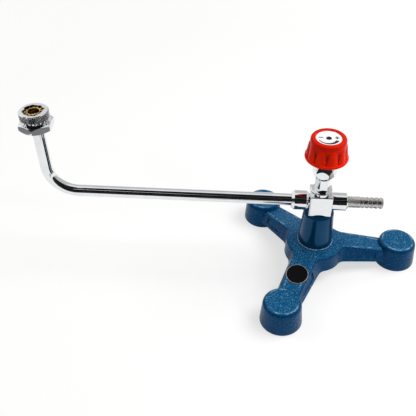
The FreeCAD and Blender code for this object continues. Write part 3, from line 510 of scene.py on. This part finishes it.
redSetup = {
    # the deep reds for the flutes and the crown are painted shade
    "ripple": 2.5, "cloud": 9, "dark": "#F01500", "pale": "#FF2E00", "fluteShade": "#860C02", "crownShade": "#A80C00",
    "coreAt": (119.5, 136), "core": (14.85, 14.0),
    "fluteShadeDeep": (0.1, 0.6), "fluteShadeShare": 0.8, "fluteShadeTop": (127, 131.5),
    "crownShadeAt": (130, 133), "crownShadeShare": 0.45,
    "dull": (0.2, 0.32), "shine": 0.07, "rippleHeight": 0.2, "rippleStrength": 0.1,
}


def redPlastic(setup):
    # moulded red plastic: strong even colour, glossy, with the soft ripple of a polished mould
    material, tree, place = startMaterial("moulded red plastic")
    ripple = addNode(tree, "TexNoise", {"Vector": place, "Scale": grain(setup["ripple"]), "Detail": 1})
    cloud = addNode(tree, "TexNoise", {"Vector": place, "Scale": grain(setup["cloud"]), "Detail": 2})
    tint = addNode(tree, "Mix", {
        0: cloud, colourA: linear(setup["dark"]), colourB: linear(setup["pale"])}, data_type="RGBA")
    # painted shade in the flutes, where the wall lies hardly further out than the core of the knob
    flat = addNode(tree, "Mapping", {"Vector": place, "Scale": (1, 1, 0)})
    reach = addNode(tree, "VectorMath", {0: flat}, operation="LENGTH")
    height = addNode(tree, "SeparateXYZ", {"Vector": place}).outputs["Z"]
    core = addNode(tree, "MapRange", {
        "Value": height, "From Min": setup["coreAt"][0] * mm, "From Max": setup["coreAt"][1] * mm,
        "To Min": setup["core"][0] * mm, "To Max": setup["core"][1] * mm})
    proud = addNode(tree, "Math", {0: reach, 1: core}, operation="SUBTRACT")
    flute = addNode(tree, "MapRange", {
        "Value": proud, "From Min": setup["fluteShadeDeep"][0] * mm, "From Max": setup["fluteShadeDeep"][1] * mm,
        "To Min": setup["fluteShadeShare"], "To Max": 0})
    below = addNode(tree, "MapRange", {
        "Value": height, "From Min": setup["fluteShadeTop"][0] * mm, "From Max": setup["fluteShadeTop"][1] * mm,
        "To Min": 1, "To Max": 0})
    fluteShade = addNode(tree, "Math", {0: flute, 1: below}, operation="MULTIPLY")
    fluteShaded = addNode(tree, "Mix", {
        0: fluteShade, colourA: tint, colourB: linear(setup["fluteShade"])}, data_type="RGBA")
    # and a deeper red painted on the crown, painted shade that dims its lit top
    crownShade = addNode(tree, "MapRange", {
        "Value": height, "From Min": setup["crownShadeAt"][0] * mm, "From Max": setup["crownShadeAt"][1] * mm,
        "To Max": setup["crownShadeShare"]})
    crownShaded = addNode(tree, "Mix", {
        0: crownShade, colourA: fluteShaded, colourB: linear(setup["crownShade"])}, data_type="RGBA")
    dull = addNode(tree, "MapRange", {
        "Value": cloud, "To Min": setup["dull"][0], "To Max": setup["dull"][1]})
    skin = addNode(tree, "Bump", {
        "Height": ripple, "Strength": setup["rippleStrength"], "Distance": setup["rippleHeight"] * mm})
    coat(tree, {"Base Color": crownShaded, "Roughness": dull,
                "IOR": resinIor, "Specular IOR Level": setup["shine"], "Normal": skin})
    return material


def cloudyMaterial(name, setup, sockets):
    # one cloud pattern lays patches over a ground colour, and where dull gives a range, roughness goes along
    material, tree, place = startMaterial(name)
    share = addNode(tree, "TexNoise", {
        "Vector": place, "Scale": grain(setup["size"]), "Detail": setup["detail"],
        "Roughness": setup.get("rough", 0.5)})
    if "between" in setup:
        share = addNode(tree, "MapRange", {
            "Value": share, "From Min": setup["between"][0], "From Max": setup["between"][1]})
    tint = addNode(tree, "Mix", {
        0: share, colourA: linear(setup["ground"]), colourB: linear(setup["patch"])}, data_type="RGBA")
    sockets = {"Base Color": tint, **sockets}
    if "dull" in setup:
        sockets["Roughness"] = addNode(tree, "MapRange", {
            "Value": share, "To Min": setup["dull"][0], "To Max": setup["dull"][1]})
    coat(tree, sockets)
    return material


def turnedBrass():
    # turned brass gone warm in use: golden where it is bright, duller and browner in patches
    setup = {"size": 3, "detail": 3, "ground": "#8A6128", "patch": "#DDB868", "dull": (0.38, 0.2)}
    return cloudyMaterial("heat-tinted turned brass", setup, {"Metallic": 1})


def shadedBrass():
    # brass deep in the burner, painted nearly black as painted shade
    setup = {"size": 1.5, "detail": 3, "ground": "#2C1E10", "patch": "#80602F", "dull": (0.6, 0.35)}
    return cloudyMaterial("brass darkened as painted shade", setup, {"Metallic": 1})


def burntBrass():
    # brass in the flame: gold where it stayed clean, brown and dull where it burnt
    setup = {"size": 4.5, "detail": 4, "rough": 0.65, "between": (0.3, 0.5),
             "ground": "#5C3E1A", "patch": "#EBC06C", "dull": (0.5, 0.22)}
    return cloudyMaterial("burnt brass", setup, {"Metallic": 1})


def paleEdgeHighlight():
    # pale blue enamel on the edge, a painted highlight, with specks of the top coat
    setup = {"size": 1.2, "detail": 3, "between": (0.45, 0.62), "ground": "#B4CBDA", "patch": "#2A6590"}
    return cloudyMaterial("pale enamel as painted highlight", setup, {"Roughness": 0.25})


def dialPlastic():
    # white plastic disc: clean satin white with the faintest greying
    setup = {"size": 4, "detail": 3, "ground": "#F0F1F2", "patch": "#FCFCFB"}
    return cloudyMaterial("white satin plastic", setup, {"Roughness": 0.35, "IOR": resinIor})


def printInk():
    # black printing ink: dense, slightly uneven where it thins
    setup = {"size": 0.8, "detail": 2, "ground": "#0C0C0E", "patch": "#2A2B2E"}
    return cloudyMaterial("black printing ink", setup, {"Roughness": 0.5})


def blackedSteel():
    # blackened steel: dark and oily, with a patchy sheen
    setup = {"size": 1.2, "detail": 3, "ground": "#070708", "patch": "#17171A", "dull": (0.3, 0.55)}
    return cloudyMaterial("blackened steel", setup, {"Specular IOR Level": 0.2})


def blackFoil():
    # black vinyl foil: flat and dark with a soft gloss and a fine leathery grain
    setup = {"size": 0.9, "detail": 2, "ground": "#050506", "patch": "#101013", "dull": (0.25, 0.45)}
    return cloudyMaterial("black vinyl foil", setup, {"IOR": resinIor, "Specular IOR Level": 0.06})


def sealRubber():
    # nitrile rubber: matt black with a dusty bloom
    setup = {"size": 1.5, "detail": 3, "ground": "#121212", "patch": "#2C2C2B"}
    return cloudyMaterial("nitrile rubber", setup, {"Roughness": 0.75})


def whitePacking():
    # sealing plastic: waxy off-white with cloudy mottling
    setup = {"size": 2, "detail": 2, "ground": "#CFCFC8", "patch": "#EDEDE8"}
    return cloudyMaterial("waxy white sealing plastic", setup, {"Roughness": 0.45})


finishes = {
    "blue_paint": hammerEnamel(hammerSetup),
    "blue_gloss": glossEnamel(glossSetup),
    "chrome": chromePlate(chromeSetup),
    "brass": turnedBrass(),
    "zinc_steel": zincSteel(zincSetup),
    "red_plastic": redPlastic(redSetup),
    "white_dial": dialPlastic(),
    "black_screw": blackedSteel(),
    "black_label": blackFoil(),
    "seal_rubber": sealRubber(),
    "white_packing": whitePacking(),
}

# parts that look different from the rest of their slot
ownFinishes = {
    "burner_body": tubeShadedInside(),
    "jet": shadedBrass(),
    "air_collar": mouthShadedPatches(),
    "flame_retainer": burntBrass(),
    "hose_tail": turnedNickel(nickelSetup),
}

for row in frame["record"]["subparts"]:
    part = frame["nodes"][row["node"]]
    for holder in part.material_slots:
        holder.material = ownFinishes.get(row["node"], finishes[row["material_slot"]])
print("finishes on", len(frame["nodes"]), "parts")

# modelling helpers


def startPiece():
    if bpy.context.object and bpy.context.object.mode != "OBJECT":
        bpy.ops.object.mode_set(mode="OBJECT")
    bpy.ops.object.select_all(action="DESELECT")


def pickEdges(piece, wanted):
    bpy.ops.mesh.select_mode(type="EDGE")
    bpy.ops.mesh.select_all(action="DESELECT")
    work = bmesh.from_edit_mesh(piece.data)
    for edge in work.edges:
        edge.select_set(bool(wanted(edge)))
    bmesh.update_edit_mesh(piece.data)


def pickVerts(piece, wanted):
    bpy.ops.mesh.select_mode(type="VERT")
    bpy.ops.mesh.select_all(action="DESELECT")
    work = bmesh.from_edit_mesh(piece.data)
    for vert in work.verts:
        vert.select_set(bool(wanted(vert.co)))
    work.select_flush(True)
    bmesh.update_edit_mesh(piece.data)


def applyAll(piece):
    bpy.context.view_layer.objects.active = piece
    for name in [modifier.name for modifier in piece.modifiers]:
        bpy.ops.object.modifier_apply(modifier=name)


def finishPiece(piece, name, material, body):
    piece.name = name
    piece.data.name = name
    piece.data.materials.clear()
    piece.data.materials.append(material)
    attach(piece, body)
    print("made", name, len(piece.data.polygons), "faces")


# knurl on the air collar, coarser than the real one, so that it shows

knurlSetup = {"radius": 11.56, "low": 145.5, "high": 150.9, "around": 48, "rows": 4, "rise": 0.44,
              # the groove colour is painted shade in the grooves of the knurl
              "groove": "#3C3C3E", "crest": "#FBFBFC", "brightFrom": 0.8, "dull": 0.14}


def makeKnurl(setup):
    startPiece()
    tall = (setup["high"] - setup["low"]) * mm
    middle = (headX * mm, 0, (setup["high"] + setup["low"]) / 2 * mm)
    bpy.ops.mesh.primitive_cylinder_add(vertices=setup["around"], radius=setup["radius"] * mm, depth=tall,
                                        end_fill_type="NOTHING", location=middle)
    piece = bpy.context.object
    bpy.ops.object.transform_apply(location=True, rotation=True, scale=True)
    bpy.ops.object.mode_set(mode="EDIT")
    pickEdges(piece, lambda edge: abs(edge.verts[0].co.z - edge.verts[1].co.z) > tiny)
    bpy.ops.mesh.subdivide(number_cuts=setup["rows"] - 1)
    bpy.ops.mesh.select_all(action="SELECT")
    bpy.ops.mesh.poke(offset=0)
    # the square net goes and the crossed diagonals stay, which leaves diamonds

    def netEdge(edge):
        a, b = edge.verts[0].co, edge.verts[1].co
        return not edge.is_boundary and (abs(a.z - b.z) < tiny or (a.xy - b.xy).length < tiny)

    pickEdges(piece, netEdge)
    bpy.ops.mesh.dissolve_edges(use_verts=False)
    bpy.ops.mesh.select_mode(type="FACE")
    bpy.ops.mesh.select_all(action="SELECT")
    bpy.ops.mesh.poke(offset=setup["rise"] * mm)
    bpy.ops.object.mode_set(mode="OBJECT")
    finishPiece(piece, "collarKnurl", knurlChrome(setup), "air_collar")


makeKnurl(knurlSetup)

# rim round the badge, and pale edge at the foot of the post that is a painted highlight

badgeSetup = {"radius": 9.4, "tall": 0.5, "wall": 0.5, "edge": 0.12,
              "slope": 0.235, "leg": -112.6, "lift": 0.2}
footEdgeSetup = {"radius": 15.3, "tall": 0.5, "wall": 0.6, "edge": 0.2, "low": 29.1}
ringSetup = {"around": 128, "edgeSteps": 3, "smoothBelow": 40}


def makeRing(name, setup, middle, turn, material, body):
    startPiece()
    bpy.ops.mesh.primitive_cylinder_add(vertices=ringSetup["around"], radius=setup["radius"] * mm,
                                        depth=setup["tall"] * mm, end_fill_type="NOTHING",
                                        location=middle, rotation=turn)
    piece = bpy.context.object
    bpy.ops.object.transform_apply(location=True, rotation=True, scale=True)
    ring = piece.modifiers.new("wall", "SOLIDIFY")
    ring.thickness = setup["wall"] * mm
    ring.offset = -1
    soft = piece.modifiers.new("edge", "BEVEL")
    soft.width = setup["edge"] * mm
    soft.segments = ringSetup["edgeSteps"]
    applyAll(piece)
    bpy.ops.object.shade_smooth_by_angle(angle=radians(ringSetup["smoothBelow"]))
    finishPiece(piece, name, material, body)


def makeBadgeRim(setup):
    # the badge lies on the sloping top of the front leg
    low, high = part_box("badge_disc")
    leg = radians(setup["leg"])
    up = Vector((setup["slope"] * cos(leg), setup["slope"] * sin(leg), 1)).normalized()
    middle = (low + high) / 2 + up * setup["lift"] * mm
    turn = up.to_track_quat("Z", "Y").to_euler()
    makeRing("badgeRim", setup, middle, turn, finishes["zinc_steel"], "base")


def makePostFootEdge(setup):
    middle = (0, 0, (setup["low"] + setup["tall"] / 2) * mm)
    makeRing("postFootEdge", setup, middle, (0, 0, 0), paleEdgeHighlight(), "base")


makeBadgeRim(badgeSetup)
makePostFootEdge(footEdgeSetup)

# flow marks on the dial

dialSetup = {"arc": 8.3, "around": 144, "from": 200, "to": 338, "inner": 0.787, "thinEnd": (-4.54, -0.8),
             "top": 135.1, "thick": 0.05, "sign": 3.4, "stroke": 1.0, "signReach": 6.3,
             "minusAt": 172, "plusAt": 8}


def makeArc(setup):
    startPiece()
    bpy.ops.mesh.primitive_circle_add(vertices=setup["around"], radius=setup["arc"] * mm,
                                      fill_type="NOTHING", location=(0, 0, setup["top"] * mm))
    piece = bpy.context.object
    bpy.ops.object.transform_apply(location=True, rotation=True, scale=True)
    bpy.ops.object.mode_set(mode="EDIT")
    start, stop = radians(setup["from"]), radians(setup["to"])
    pickVerts(piece, lambda co: not start <= atan2(co.y, co.x) % (2 * pi) <= stop)
    bpy.ops.mesh.delete(type="VERT")
    bpy.ops.mesh.select_all(action="SELECT")
    bpy.ops.mesh.extrude_edges_move()
    # scaled about a point near the thin end, so that the band widens towards the other
    thinX, thinY = setup["thinEnd"]
    bpy.ops.transform.resize(value=(setup["inner"], setup["inner"], 1),
                             center_override=(thinX * mm, thinY * mm, setup["top"] * mm))
    bpy.ops.object.mode_set(mode="OBJECT")
    return piece


def makeBar(setup, turn, upright):
    startPiece()
    reach = setup["signReach"] * mm
    middle = (reach * cos(turn), reach * sin(turn), setup["top"] * mm)
    bpy.ops.mesh.primitive_plane_add(size=1, location=middle)
    piece = bpy.context.object
    long, short = setup["sign"] * mm, setup["stroke"] * mm
    piece.scale = (short, long, 1) if upright else (long, short, 1)
    bpy.ops.object.transform_apply(location=True, rotation=True, scale=True)
    return piece


def makeDialMarks(setup):
    minusAt, plusAt = radians(setup["minusAt"]), radians(setup["plusAt"])
    marks = [makeArc(setup), makeBar(setup, minusAt, False)]
    marks += [makeBar(setup, plusAt, upright) for upright in (False, True)]
    startPiece()
    for mark in marks:
        mark.select_set(True)
    bpy.context.view_layer.objects.active = marks[0]
    bpy.ops.object.join()
    piece = bpy.context.object
    bpy.ops.object.mode_set(mode="EDIT")
    bpy.ops.mesh.select_all(action="SELECT")
    bpy.ops.mesh.extrude_region_move(TRANSFORM_OT_translate={"value": (0, 0, setup["thick"] * mm)})
    bpy.ops.mesh.select_all(action="SELECT")
    bpy.ops.mesh.normals_make_consistent(inside=False)
    bpy.ops.object.mode_set(mode="OBJECT")
    finishPiece(piece, "dialMarks", printInk(), "knob")


makeDialMarks(dialSetup)
